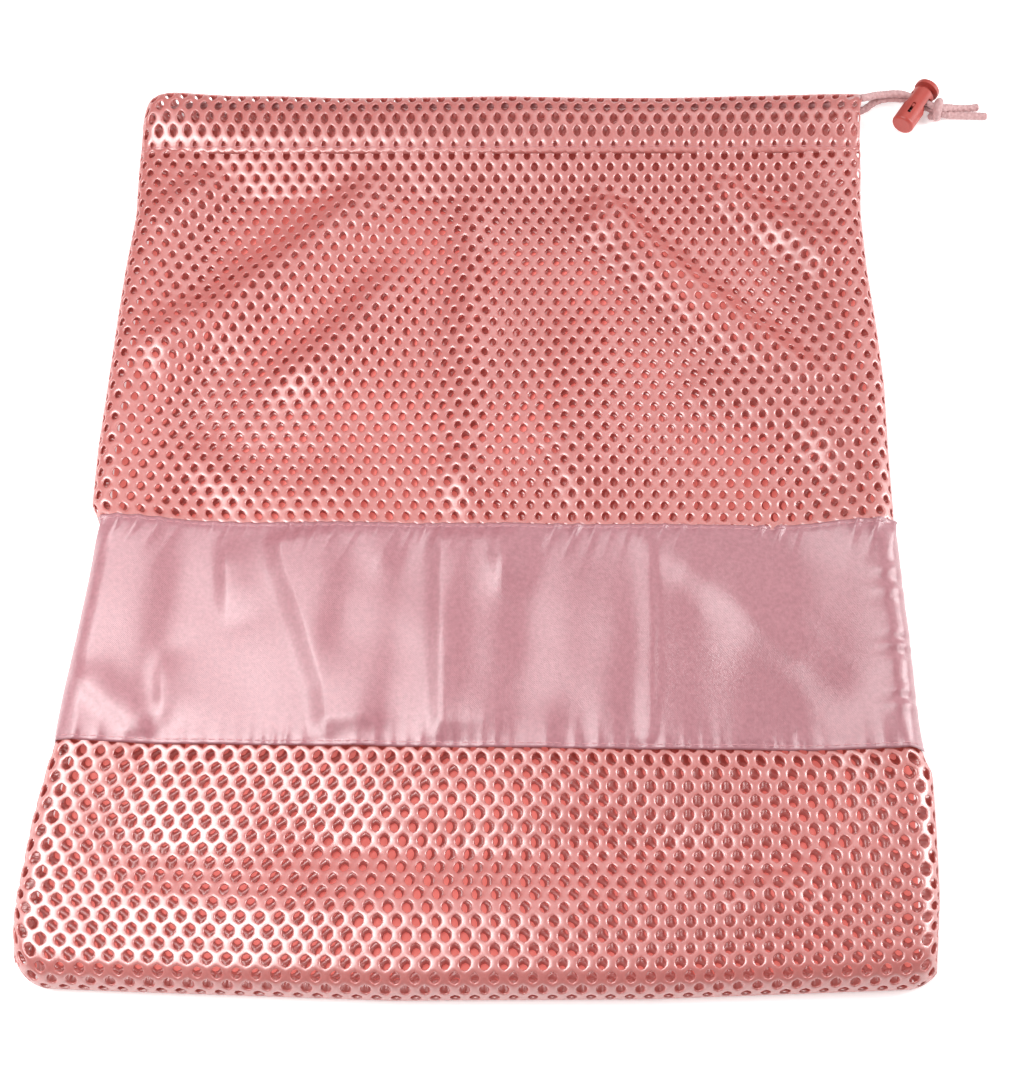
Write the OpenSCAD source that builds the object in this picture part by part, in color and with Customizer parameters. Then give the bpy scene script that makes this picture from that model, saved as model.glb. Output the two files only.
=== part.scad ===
// Drawstring mesh laundry bag, lying flat on its back, front up, mouth towards +Y.
// The bag is a soft pillow of mesh cloth, thicker at its bottom fold than at its mouth.
// A barrel cord lock rides on the two drawcord ends, which leave the mouth's right corner.
// Millimetres. Origin: on the resting plane, under the middle of the bag. +Z is up, out of the front.

/* [Bag] */
// Width of the bag, seam to seam
bag_w = 330; // [300:1:360]
// Height of the bag, bottom fold to mouth
bag_h = 400; // [360:1:440]
// Thickness of the lying bag at its bottom fold
bottom_t = 20; // [16:1:26]
// Thickness of the mesh cloth
cloth_t = 1; // [0.8:0.1:1.4]

/* [Casing] */
// Height of the drawcord casing (the top hem)
casing_h = 33; // [30:1:42]
// Thickness of one flattened casing tube
casing_t = 5; // [4.8:0.1:5.4]
// Thickness of the cloth of the casing
casing_wall = 0.8; // [0.6:0.1:0.9]
// Height from the back casing's middle to the front casing's middle
casing_rise = 9.2; // [9.1:0.1:9.6]

/* [Satin band] */
// Height of the satin band
band_h = 95; // [60:1:110]
// Distance of the band's lower edge from the bottom fold
band_from_bottom = 91; // [80:1:110]
// Thickness of the satin
band_t = 0.6; // [0.4:0.1:0.8]

/* [Seams] */
// Width of the overlocked seam allowances inside the bag
seam_w = 4; // [3:0.5:5]
// Thickness of the overlocked seam allowances
seam_t = 1.6; // [1.2:0.1:1.8]
// Diameter of the sewing thread
thread_d = 0.6; // [0.4:0.1:0.8]

/* [Drawcord] */
// Diameter of the drawcord
cord_d = 2.8; // [2.4:0.1:2.8]
// Radius of the knot, across the cord
knot_r = 4.9; // [4.4:0.1:4.9]
// Thickness of the knot, along the cord
knot_t = 5; // [4:0.1:5]

/* [Cord lock] */
// Radius of the barrel
barrel_r = 5.1; // [5:0.1:5.3]
// Length of the barrel
barrel_len = 20.2; // [20:0.1:20.4]
// Radius of the plunger's button
button_r = 5.6; // [5.4:0.1:5.6]
// Thickness of the plunger's button
button_t = 2.2; // [2:0.1:3]
// Radius of the barrel's bore
bore_r = 4.3; // [4.3:0.05:4.35]
// Radius of the plunger's stem
stem_r = 4.1; // [4:0.05:4.15]
// Radius of the plunger's neck, below its button
neck_r = 3; // [2.6:0.1:3.4]
// How far the plunger travels when it is pressed
press_travel = 2.6; // [2:0.1:2.6]

/* [Hidden] */

$fn = 64;
gap = 0.05;                  // air between faces that lie on each other
big = 2 * bag_h;             // larger than the bag, for cutting it

// Casing and the pillow of cloth below it
half_w = bag_w / 2;
half_h = bag_h / 2;
back_mid_z = casing_t / 2;
front_mid_z = back_mid_z + casing_rise;
top_t = front_mid_z + casing_t / 2;
turn_r = casing_rise / 2;
turn_x = half_w - turn_r - casing_t / 2;
turn_angle = 89.7;           // short of a right angle, so that the two turns stay just apart
turn_mid_z = back_mid_z + turn_r;
split_z = 7.8;               // the two panels meet at this height
casing_y = half_h - casing_h;
casing_end_x = half_w - 2;
panel_top_y = casing_y - gap;
bottom_r = bottom_t / 2;
top_r = top_t / 2;
round_sides = 48;
sink = 0.15;                 // the pillow's rounds are lowered by this, so that its back is cut flat

// Seam allowances, clear of the rounded cloth beside them
seam_inset = 1.8;
seam_low_y = bottom_r - half_h;

// Satin band
stitch_inset = 2;
band_low_y = band_from_bottom - half_h;
band_high_y = band_low_y + band_h;

// Cord route: one line for each of the two ends, from the casing to the knot, then the two tails.
// Along the arc about lock_pivot the ends keep one height each, so that the lock slides on them.
mouth_corner = [half_w, half_h, 0];
lock_pivot = [half_w + 14.5, half_h - 19];
lock_angle = 57;
lock_z = 5.7;
cord_y = half_h - 5;
front_route = [for (p = [
    [-1.9, -5, front_mid_z], [-0.4, -4.8, 11.6], [1.4, -4, 11.1], [3.2, -2.8, 10.1],
    [5.1, -1.34, 9], [8.3, 0.02, 7.6], [11.4, 0.75, 7.2], [14.5, 1, 7.2], [18, 0.7, 7.2],
    [21.5, -0.3, 7.2], [25.4, -2.2, 7.2], [28.5, -4.1, 7.1], [31.9, -5.5, 6.5]
]) mouth_corner + p];
back_route = [for (p = [
    [-1.9, -5, back_mid_z], [-0.4, -4.8, back_mid_z], [1.4, -4, 2.6], [3.2, -2.8, 2.9],
    [5.1, -1.34, 3.4], [8.3, 0.02, 4.1], [11.4, 0.75, 4.2], [14.5, 1, 4.2], [18, 0.7, 4.2],
    [21.5, -0.3, 4.2], [25.4, -2.2, 4.2], [28.5, -4.1, 4.1], [31.9, -5.5, 3.6]
]) mouth_corner + p];
front_tail_route = [for (p = [
    [34.2, -6.3, 6.4], [38.5, -4.8, 4.6], [42.5, -3.6, 2.6], [47, -2.8, 1.5], [53.3, -2, 1.4]
]) mouth_corner + p];
back_tail_route = [for (p = [
    [34.2, -6.3, 3.4], [38.5, -6.8, 2.2], [43, -6.7, 1.5], [49, -6.8, 1.4], [56.6, -7.2, 1.4]
]) mouth_corner + p];
cord_sides = 8;
knot_centre = mouth_corner + [33.6, -6.2, 5];
knot_angle = -20;

// Cord lock, along its axis from the closed end of the barrel
lock_end_r = 4;              // radius at which the closed end lies, from lock_pivot
floor_t = 1.8;
barrel_round = 1.4;
window_len = 7;
window_w = 6.6;
window_round = 1;
window_from = 10.9;
stem_window_from = window_from + press_travel;
button_from = barrel_len + press_travel + 0.2;
stem_from = 8.4;
stem_to = stem_window_from + window_len + 0.8;
seat_r = 3.5;
seat_to = 12;
slot_w = 1.4;
slot_from = 4.2;
slot_to = 10.6;
button_round = 0.6;
barb_len = 1.6;
barb_w = 1;
barb_r = 4.8;
wire_d = 0.7;
spring_r = 2.9;
spring_turns = 6;
spring_steps = 16;           // rings in each turn of the spring
wire_sides = 8;

function unit(v) = v / norm(v);
function tangent(path, i) = unit(path[min(i + 1, len(path) - 1)] - path[max(i - 1, 0)]);

// Height of the cloth's front face over a place on the bag's length
function front_z(y) = bottom_t - sink
    + (top_t - bottom_t) * (y + half_h - bottom_r) / (casing_y + top_r + half_h - bottom_r);

// A tube along a path: one ring of points at each path point, and a flat face at each end.
// up is any direction that the path never runs along.
module sweep(path, r, sides, up) {
    rings = [for (i = [0 : len(path) - 1])
        let (t = tangent(path, i), u = unit(cross(up, t)), v = cross(t, u))
        for (k = [0 : sides - 1]) let (a = 360 * k / sides)
            path[i] + r * (cos(a) * u + sin(a) * v)];
    walls = [for (i = [0 : len(path) - 2], k = [0 : sides - 1])
        let (n = (k + 1) % sides)
        [i * sides + k, (i + 1) * sides + k, (i + 1) * sides + n, i * sides + n]];
    start = [for (k = [0 : sides - 1]) k];
    finish = [for (k = [sides - 1 : -1 : 0]) (len(path) - 1) * sides + k];
    polyhedron(points = rings, faces = concat(walls, [start, finish]), convexity = 4);
}

module cord(route) {
    color("#d8b0b0") sweep(route, cord_d / 2, cord_sides, [0, 0, 1]);
}

// The bag's outer form, grown by g: four rounds at its corners with the cloth stretched over them.
module pillow(g) {
    hull() for (side = [-1, 1]) {
        translate([side * (half_w - bottom_r), bottom_r - half_h, bottom_r - sink])
            sphere(r = bottom_r + g, $fn = round_sides);
        translate([side * (half_w - top_r), casing_y + top_r, top_r - sink])
            sphere(r = top_r + g, $fn = round_sides);
    }
}

// Everything between two heights, and up to the casing
module slab(low_z, high_z) {
    translate([-big / 2, -big, low_z]) cube([big, big + panel_top_y, high_z - low_z]);
}

module front_panel() {
    color("#f0a6a0") intersection() {
        difference() {
            pillow(0);
            pillow(-cloth_t);
        }
        slab(split_z + gap / 2, big);
    }
}

module back_panel() {
    color("#e89a94") intersection() {
        difference() {
            pillow(0);
            translate([0, 0, sink]) pillow(-cloth_t);
        }
        slab(0, split_z - gap / 2);
    }
}

module satin_band() {
    color("#dfa6b0") intersection() {
        difference() {
            pillow(band_t + gap);
            pillow(gap);
        }
        translate([-big / 2, band_low_y, split_z]) cube([big, band_h, big]);
    }
}

// Cross-section of a casing: a flat loop of cloth, its height along x
module casing_outline(wall) {
    r = casing_t / 2 - wall;
    translate([casing_t / 2, -r]) square([casing_h - casing_t, 2 * r]);
    for (x = [casing_t / 2, casing_h - casing_t / 2])
        translate([x, 0]) circle(r);
}

module casing_section() {
    difference() {
        casing_outline(0);
        casing_outline(casing_wall);
    }
}

// A casing tube across the bag, and its quarter turn into the left side seam.
// The back casing turns upwards (flip 0), the front casing downwards (flip 1).
module casing(mid_z, flip) {
    translate([-turn_x, casing_y, mid_z]) rotate([90, 0, 90])
        linear_extrude(turn_x + casing_end_x) casing_section();
    translate([-turn_x, casing_y, turn_mid_z]) mirror([0, 0, flip])
        rotate([-90, 0, 0]) rotate([0, 0, 90]) rotate_extrude(angle = turn_angle)
            translate([turn_r, 0]) mirror([1, -1, 0]) casing_section();
}

module front_casing() { color("#f0a6a0") casing(front_mid_z, 1); }
module back_casing() { color("#e89a94") casing(back_mid_z, 0); }

// Overlocked seam allowances, inside the bag along the joint of the two panels
module side_seam(side) {
    color("#e39a98") translate([side * (half_w - seam_inset - seam_w / 2), seam_low_y, split_z])
        translate([-seam_w / 2, 0, -seam_t / 2]) cube([seam_w, casing_y - 1 - seam_low_y, seam_t]);
}

module left_side_seam() { side_seam(-1); }
module right_side_seam() { side_seam(1); }

module bottom_seam() {
    color("#e39a98") translate([bottom_r - half_w, seam_inset - half_h, split_z - seam_t / 2])
        cube([bag_w - bottom_t, seam_w, seam_t]);
}

// A row of sewing thread across the bag, or along it
module thread_across(from_x, to_x, y, z) {
    color("#f3c4c4") translate([from_x, y, z + thread_d / 2 + gap]) rotate([0, 90, 0])
        cylinder(h = to_x - from_x, d = thread_d, $fn = 24);
}

module thread_along(x, from_y, to_y, z) {
    color("#f3c4c4") translate([x, from_y, z + thread_d / 2 + gap]) rotate([-90, 0, 0])
        cylinder(h = to_y - from_y, d = thread_d, $fn = 24);
}

module casing_stitching_front() {
    thread_across(-turn_x, casing_end_x, casing_y + casing_t / 2 + thread_d, top_t);
}

module casing_stitching_back() {
    thread_across(-turn_x, casing_end_x, casing_y + casing_t / 2 + thread_d, casing_t);
}

module band_stitching(y) {
    thread_across(bottom_r - half_w, half_w - bottom_r, y, front_z(y) + band_t + gap);
}

module band_stitching_top() { band_stitching(band_high_y - stitch_inset); }
module band_stitching_bottom() { band_stitching(band_low_y + stitch_inset); }

module seam_stitching(side) {
    thread_along(side * (half_w - seam_inset - seam_w / 2), seam_low_y, casing_y - 1, split_z + seam_t / 2);
}

module left_seam_stitching() { seam_stitching(-1); }
module right_seam_stitching() { seam_stitching(1); }

module bottom_seam_stitching() {
    thread_across(bottom_r - half_w, half_w - bottom_r, seam_inset - half_h + seam_w / 2,
        split_z + seam_t / 2);
}

// The drawcord where the casings hold it: across the front, round the left seam, back across the back
module drawcord() {
    color("#d8b0b0") {
        for (z = [back_mid_z, front_mid_z])
            translate([-turn_x, cord_y, z]) rotate([0, 90, 0])
                cylinder(h = turn_x + casing_end_x, d = cord_d, $fn = 32);
        translate([-turn_x, cord_y, turn_mid_z]) rotate([-90, 0, 0]) rotate([0, 0, 90])
            rotate_extrude(angle = 180) translate([turn_r, 0]) circle(d = cord_d, $fn = 32);
    }
}

module cord_end_front() { cord(front_route); }
module cord_end_back() { cord(back_route); }
module cord_tail_front() { cord(front_tail_route); }
module cord_tail_back() { cord(back_tail_route); }

// The overhand knot that both ends are tied in: a round cushion, its axis along the cord
module cord_knot() {
    ring_r = knot_t / 2;
    color("#d2a6a8") translate(knot_centre) rotate([0, 0, knot_angle]) rotate([0, 90, 0])
        rotate_extrude() intersection() {
            union() {
                translate([knot_r - ring_r, 0]) circle(ring_r);
                translate([0, -ring_r]) square([knot_r - ring_r, knot_t]);
            }
            translate([0, -ring_r]) square([knot_r, knot_t]);
        }
}

// Places the lock's own frame: its axis is x, and x = 0 is the outside of the barrel's closed end
module in_lock() {
    translate([lock_pivot.x, lock_pivot.y, lock_z]) rotate([0, 0, lock_angle])
        translate([lock_end_r, 0, 0]) children();
}

// The cords' window through the lock, from x = from_x
module window(from_x) {
    flat_len = window_len - 2 * window_round;
    flat_w = window_w - 2 * window_round;
    translate([from_x, 0, 0]) rotate([90, 0, 0]) linear_extrude(4 * barrel_r, center = true)
        translate([0, -window_w / 2]) {
            translate([window_round, 0]) square([flat_len, window_w]);
            translate([0, window_round]) square([window_len, flat_w]);
            for (x = [0, flat_len], y = [0, flat_w])
                translate([x + window_round, y + window_round]) circle(window_round);
        }
}

// A disc along x with one rounded rim: at its start
module rounded_drum(r, len, round) {
    rotate([0, 90, 0]) rotate_extrude() {
        square([r - round, len]);
        translate([0, round]) square([r, len - round]);
        translate([r - round, round]) circle(round);
    }
}

module lock_housing() {
    color("#cc5048") in_lock() difference() {
        rounded_drum(barrel_r, barrel_len, barrel_round);
        translate([floor_t, 0, 0]) rotate([0, 90, 0]) cylinder(h = barrel_len, r = bore_r);
        window(window_from);
        translate([slot_from, -slot_w / 2, 0]) cube([slot_to - slot_from, slot_w, 2 * barrel_r]);
    }
}

module lock_plunger() {
    color("#c4453e") in_lock() {
        difference() {
            translate([stem_from, 0, 0]) rotate([0, 90, 0]) {
                cylinder(h = stem_to - stem_from, r = stem_r);
                cylinder(h = button_from + 1 - stem_from, r = neck_r);
            }
            translate([stem_from - 1, 0, 0]) rotate([0, 90, 0]) cylinder(h = seat_to - stem_from + 1, r = seat_r);
            window(stem_window_from);
        }
        translate([button_from + button_t, 0, 0]) mirror([1, 0, 0])
            rounded_drum(button_r, button_t, button_round);
        translate([stem_from, -barb_w / 2, seat_r + 0.1]) cube([barb_len, barb_w, barb_r - seat_r - 0.1]);
    }
}

// The coil spring between the barrel's floor and the plunger's seat
module lock_spring() {
    first_x = floor_t + wire_d / 2 + gap;
    last_x = seat_to - wire_d / 2 - gap;
    rings = spring_turns * spring_steps;
    path = [for (i = [0 : rings]) let (a = 360 * i / spring_steps)
        [first_x + (last_x - first_x) * i / rings, spring_r * cos(a), spring_r * sin(a)]];
    color("silver") in_lock() sweep(path, wire_d / 2, wire_sides, [1, 0, 0]);
}

front_panel();
back_panel();
satin_band();
front_casing();
back_casing();
left_side_seam();
right_side_seam();
bottom_seam();
casing_stitching_front();
casing_stitching_back();
band_stitching_top();
band_stitching_bottom();
left_seam_stitching();
right_seam_stitching();
bottom_seam_stitching();
drawcord();
cord_end_front();
cord_end_back();
cord_knot();
cord_tail_front();
cord_tail_back();
lock_housing();
lock_plunger();
lock_spring();
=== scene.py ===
"""Mesh laundry bag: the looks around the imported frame.

Lengths in the shape code are in millimetres, in the CAD frame, and become metres in mesh_piece().
The cloth is made in its own flat coordinates (s across, t along) and laid on a surface.
"""

import math

import bpy
import numpy as np
from mathutils import Matrix, Vector


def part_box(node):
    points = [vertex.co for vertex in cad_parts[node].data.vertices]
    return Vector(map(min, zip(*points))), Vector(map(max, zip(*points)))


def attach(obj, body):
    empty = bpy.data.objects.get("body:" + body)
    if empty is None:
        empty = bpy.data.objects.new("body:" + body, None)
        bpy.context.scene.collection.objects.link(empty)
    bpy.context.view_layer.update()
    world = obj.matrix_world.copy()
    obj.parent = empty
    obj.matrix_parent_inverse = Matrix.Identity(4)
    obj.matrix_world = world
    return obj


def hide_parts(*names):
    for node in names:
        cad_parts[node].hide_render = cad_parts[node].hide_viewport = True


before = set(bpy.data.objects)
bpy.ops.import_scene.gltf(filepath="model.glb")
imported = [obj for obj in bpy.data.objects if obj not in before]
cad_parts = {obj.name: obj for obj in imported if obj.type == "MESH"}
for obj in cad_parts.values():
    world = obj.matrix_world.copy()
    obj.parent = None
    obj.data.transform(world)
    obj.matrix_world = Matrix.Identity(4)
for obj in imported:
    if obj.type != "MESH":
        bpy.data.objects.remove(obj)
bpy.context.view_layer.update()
MM = 0.001

# ---------------------------------------------------------------- sizes from the frame


def node_box(node):
    """Lowest and highest corner of a CAD node, in millimetres."""
    lo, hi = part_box(node)
    return np.array(lo) / MM, np.array(hi) / MM


PANEL_LO, PANEL_HI = node_box("front_panel")
CASING_LO, CASING_HI = node_box("front_casing")
BAND_LO, BAND_HI = node_box("satin_band")

HALF_W = PANEL_HI[0]                # half width of the bag
BOTTOM_Y = PANEL_LO[1]              # the bottom fold
MOUTH_Y = CASING_HI[1]              # the rim of the mouth
CASING_Y = CASING_LO[1]             # where the casings start
SEAM_Z = 6.4                        # height of the side seams above the floor
SIDE_R = 8.0                        # plan radius of the rounded sides
BOTTOM_R = 13.0                     # plan depth of the rounded bottom
BOTTOM_SEAM_Z = 4.2                 # height of the bottom fold's furthest point
STRAND_H = 0.62                     # half thickness of the mesh cloth
FLOOR_GAP = 0.15                    # between the cloth and the floor
CORNER_R = 13.0                     # plan radius of the bottom corners

COLUMNS = 49                        # holes across the bag
HEM_COLUMNS = 51                    # and across its stretched hems
HEM_ROW = 6.3                       # between rows in the hems
ROWS = 73                           # rows of holes from the bottom seam to the casing
FLAT_HALF = HALF_W - SIDE_R + SIDE_R * math.pi / 2
FLAT_TURN = 21.0                    # cloth that goes round the bottom curve
FLAT_H = FLAT_TURN + CASING_Y - (BOTTOM_Y + BOTTOM_R)
PITCH = 2 * FLAT_HALF / COLUMNS     # between holes in a row
ROW = FLAT_H / ROWS                 # between rows
HOLE_A, HOLE_B = 1.72, 2.28         # half width and half height of a hole

# ---------------------------------------------------------------- camera

CAM_TILT, CAM_YAW, CAM_ROLL = 24.704, 4.271, -3.52
CAM_AIM = Vector((7.7, -16.4, 0)) * MM
CAM_DISTANCE = 646.45 * MM
SENSOR = 36.0
LENS = 53.93


def make_camera():
    data = bpy.data.cameras.new("camera")
    data.sensor_width = SENSOR
    data.sensor_fit = "AUTO"
    data.lens = LENS
    cam = bpy.data.objects.new("camera", data)
    bpy.context.scene.collection.objects.link(cam)
    turn = (
        Matrix.Rotation(math.radians(CAM_YAW), 4, "Z")
        @ Matrix.Rotation(math.radians(CAM_TILT), 4, "X")
        @ Matrix.Rotation(math.radians(CAM_ROLL), 4, "Z")
    )
    place = CAM_AIM + turn.col[2].to_3d() * CAM_DISTANCE
    cam.matrix_world = Matrix.Translation(place) @ turn
    data.clip_start, data.clip_end = 0.01, 20
    bpy.context.scene.camera = cam


make_camera()

# ---------------------------------------------------------------- small helpers


def smooth(low, high, x):
    """0 below low, 1 above high, and a smooth step between."""
    k = np.clip((x - low) / (high - low), 0, 1)
    return k * k * (3 - 2 * k)


def ridge(x, y, path, height, width, end, far_width):
    """A fold of the given height along a path of points. width is on the path's left side and
    far_width on its right; end is the length over which its ends fade."""
    path = np.array(path, float)
    best = np.full(np.shape(x), 1e9)
    side = np.zeros(np.shape(x))
    along = np.zeros(np.shape(x))
    run = 0.0
    for a, b in zip(path[:-1], path[1:]):
        d = b - a
        length = math.hypot(*d)
        k = ((x - a[0]) * d[0] + (y - a[1]) * d[1]) / length
        inside = np.clip(k, 0, length)
        px, py = x - a[0] - d[0] * inside / length, y - a[1] - d[1] * inside / length
        dist = np.hypot(px, py)
        near = dist < best
        best = np.where(near, dist, best)
        side = np.where(near, d[0] * py - d[1] * px, side)
        along = np.where(near, run + inside, along)
        run += length
    w = np.where(side > 0, width, far_width)
    fade = smooth(-0.01, end, along) * smooth(-0.01, end, run - along)
    return height * np.exp(-((best / w) ** 2)) * fade


def ripple(x, y, scale, seed):
    """A smooth random field of about unit size whose waves are about scale long."""
    rng = np.random.default_rng(seed)
    total = np.zeros(np.shape(x))
    for _ in range(7):
        angle, phase = rng.uniform(0, math.tau, 2)
        k = math.tau / (scale * rng.uniform(0.7, 1.5))
        total = total + np.sin(k * (x * math.cos(angle) + y * math.sin(angle)) + phase)
    return total / 3.0


def unit(vectors):
    return vectors / np.linalg.norm(vectors, axis=-1, keepdims=True)


def mesh_piece(name, points, faces, material, body, uv=None):
    """A mesh object from points in millimetres and a list of face arrays. uv is one pair a point."""
    mesh = bpy.data.meshes.new(name)
    points = np.asarray(points, float) * MM
    mesh.vertices.add(len(points))
    mesh.vertices.foreach_set("co", points.astype(np.float32).ravel())
    loops = np.concatenate([np.asarray(f).ravel() for f in faces]).astype(np.int32)
    sizes = np.concatenate([np.full(len(f), np.shape(f)[1]) for f in faces]).astype(np.int32)
    starts = np.concatenate([[0], np.cumsum(sizes)[:-1]]).astype(np.int32)
    mesh.loops.add(len(loops))
    mesh.loops.foreach_set("vertex_index", loops)
    mesh.polygons.add(len(sizes))
    mesh.polygons.foreach_set("loop_start", starts)
    mesh.polygons.foreach_set("loop_total", sizes)
    mesh.update(calc_edges=True)
    mesh.validate()
    if uv is not None:
        layer = mesh.uv_layers.new(name="UVMap")
        index = np.zeros(len(mesh.loops), np.int32)
        mesh.loops.foreach_get("vertex_index", index)
        layer.data.foreach_set("uv", np.asarray(uv, np.float32)[index].ravel())
    mesh.shade_smooth()
    mesh.materials.append(material)
    piece = bpy.data.objects.new(name, mesh)
    bpy.context.scene.collection.objects.link(piece)
    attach(piece, body)
    return piece


def normals_of(surface, s, t, step=0.25):
    """Unit normals of a surface given as a function of s and t."""
    ds = surface(s + step, t) - surface(s - step, t)
    dt = surface(s, t + step) - surface(s, t - step)
    return unit(np.cross(ds, dt))


# ---------------------------------------------------------------- the shape of the lying bag

FOLDS = [
    # path, height, width, end, far width
    ([(-44, 158), (-84, 118), (-122, 84), (-158, 56)], 5.4, 18, 26, 10),
    ([(-34, 120), (-60, 78), (-100, 36)], 3.8, 15, 34, 10),
    ([(-120, 158), (-158, 124)], 4.2, 11, 12, 7),
    ([(38, 154), (74, 110), (146, 42)], 5.8, 7, 26, 18),
    ([(90, 158), (156, 106)], 4.4, 6, 18, 13),
    ([(-10, 158), (-9, 60), (-10, -14)], 3.0, 6, 30, 9),
    ([(36, 98), (38, 40), (36, -14)], 2.6, 16, 30, 12),
    ([(76, 58), (112, 44), (156, 18)], 3.4, 8, 20, 16),
    ([(-134, 26), (-88, -6)], 1.6, 9, 20, 12),
    ([(-66, 20), (-58, -10)], 1.0, 9, 16, 12),
    ([(110, 30), (124, -10)], 1.8, 8, 16, 12),
    ([(-94, -144), (0, -147), (106, -143)], -3.4, 12, 46, 12),
    ([(84, -165), (112, -160), (144, -141)], 2.6, 6, 16, 9),
    ([(-140, -168), (-60, -171), (60, -171), (140, -166)], 1.4, 9, 30, 9),
]


# The bag's outline: half widths to the left and to the right at heights up the bag
OUTLINE_Y = [-200, -184, -167, -138, -117, -108, -90, -66, -42, -17, -8, 18, 49, 77, 105, 134, 160, 185, 200]
OUTLINE_LEFT = [166.0, 167.2, 167.2, 165.6, 162.8, 161.0, 160.0, 158.0, 156.4, 155.4, 160.0, 160.9, 160.6, 160.4,
                160.0, 158.6, 160.2, 160.6, 160.4]
OUTLINE_RIGHT = [162.5, 163.9, 165.2, 166.5, 167.0, 163.6, 162.6, 162.4, 161.6, 161.1, 161.4, 161.6, 162.4, 161.4,
                 159.6, 159.0, 160.4, 161.4, 165.4]


def side_width(x, y):
    """Distance from the middle line to the side of the bag that x is on."""
    return np.where(x < 0, np.interp(y, OUTLINE_Y, OUTLINE_LEFT), np.interp(y, OUTLINE_Y, OUTLINE_RIGHT))


def bottom_bow(x):
    """How far the bottom fold lies above its lowest line: it bows, and both its corners are round."""
    bow = np.interp(x, [-165, -120, -30, 60, 165], [2.6, 1.6, 0.0, 1.8, 7.0])
    corner = np.clip((np.abs(x) - (HALF_W - CORNER_R)) / CORNER_R, 0, 1)
    return bow + CORNER_R * (1 - np.sqrt(1 - 0.93 * corner ** 2))


def shoulder_z(y):
    """Height of the front cloth where it turns down to the sides."""
    return np.interp(y, [BOTTOM_Y, -120, 0, CASING_Y - 40, CASING_Y], [17.6, 14.5, 11.5, 10.8, 11.0])


def middle_z(y):
    """Height of the front cloth along the middle, where it sinks towards the back cloth."""
    k = [BOTTOM_Y, -178, -150, -110, -60, -14, 20, 120, 145, CASING_Y]
    return np.interp(y, k, [17.6, 14.4, 10.4, 9.2, 6.8, 3.8, 2.3, 2.3, 4.4, 10.6])


def open_end(x, y):
    """1 where the cloth closes round the side, less at the right end of the casings."""
    return 1 - 0.75 * smooth(138, 172, y) * (x > 0)


def wrap(s, t):
    """Flat cloth coordinates to plan x, y, and the angles round the side and the bottom."""
    a = np.clip((np.abs(s) - (HALF_W - SIDE_R)) / SIDE_R, 0, math.pi / 2)
    b = np.clip((FLAT_TURN - t) / FLAT_TURN, 0, 1) * math.pi / 2
    over_s = np.maximum(np.abs(s) - FLAT_HALF, 0)
    over_t = np.maximum(-t, 0)
    sa, sb = np.sin(a), np.sin(b)
    x = np.minimum(np.abs(s), HALF_W - SIDE_R) + SIDE_R * sa
    y = np.maximum(t - FLAT_TURN, 0) + BOTTOM_Y + BOTTOM_R * (1 - sb)
    x = np.sign(s) * x * side_width(s, y) / HALF_W
    y = y + bottom_bow(x) * (1 - smooth(0, 46, y - BOTTOM_Y))
    return x, y, a, b, over_s, over_t


def edge_fade(x, y, reach):
    return smooth(0, reach, side_width(x, y) - np.abs(x)) * smooth(0, reach, y - BOTTOM_Y)


def front(s, t):
    """Middle surface of the front cloth."""
    x, y, a, b, over_s, over_t = wrap(s, t)
    inner = smooth(2, 44, side_width(x, y) - np.abs(x))
    z = shoulder_z(y) + (middle_z(y) - shoulder_z(y)) * inner
    fade = edge_fade(x, y, 26) * smooth(-4, 22, CASING_Y - y)
    for path, height, width, end, far in FOLDS:
        z = z + ridge(x, y, path, height, width, end, far) * fade
    z = z + 0.30 * ripple(x, y, 46, 3) * fade + 0.10 * ripple(x, y, 21, 4) * fade
    drop = np.cos(a * open_end(x, y)) * np.cos(b)
    low = SEAM_Z + (BOTTOM_SEAM_Z - SEAM_Z) * (1 - smooth(0, 40, y - BOTTOM_Y))
    z = low + (z - low) * drop - over_s - over_t
    return np.stack([x, y, z], -1)


def back(s, t):
    """Middle surface of the back cloth, which lies on the floor."""
    x, y, a, b, over_s, over_t = wrap(s, t)
    rest = STRAND_H + FLOOR_GAP
    fade = edge_fade(x, y, 30) * smooth(-4, 26, CASING_Y - y)
    x, y = x + 1.9 * ripple(x, y, 150, 51) * fade, y + 1.6 * ripple(x, y, 130, 52) * fade
    z = rest + np.clip(0.2 * (1 + ripple(x, y, 60, 8)) * fade, 0, 0.5)
    drop = np.cos(a * open_end(x, y)) * np.cos(b)
    low = SEAM_Z + (BOTTOM_SEAM_Z - SEAM_Z) * (1 - smooth(0, 40, y - BOTTOM_Y))
    z = low - (low - z) * drop + over_s + over_t
    return np.stack([x, y, z], -1)


# ---------------------------------------------------------------- materials


def new_material(name, colour, roughness):
    material = bpy.data.materials.new(name)
    material.use_nodes = True
    tree = material.node_tree
    shader = tree.nodes["Principled BSDF"]
    shader.inputs["Base Color"].default_value = (*colour, 1)
    shader.inputs["Roughness"].default_value = roughness
    return material, tree, shader


def node(tree, kind, **values):
    """A node of a material with its inputs set by name or number."""
    made = tree.nodes.new(kind)
    for key, value in values.items():
        if hasattr(made, key):
            setattr(made, key, value)
        else:
            made.inputs[key.replace("_", " ")].default_value = value
    return made


def link(tree, a, a_out, b, b_in):
    tree.links.new(a.outputs[a_out], b.inputs[b_in])


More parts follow.
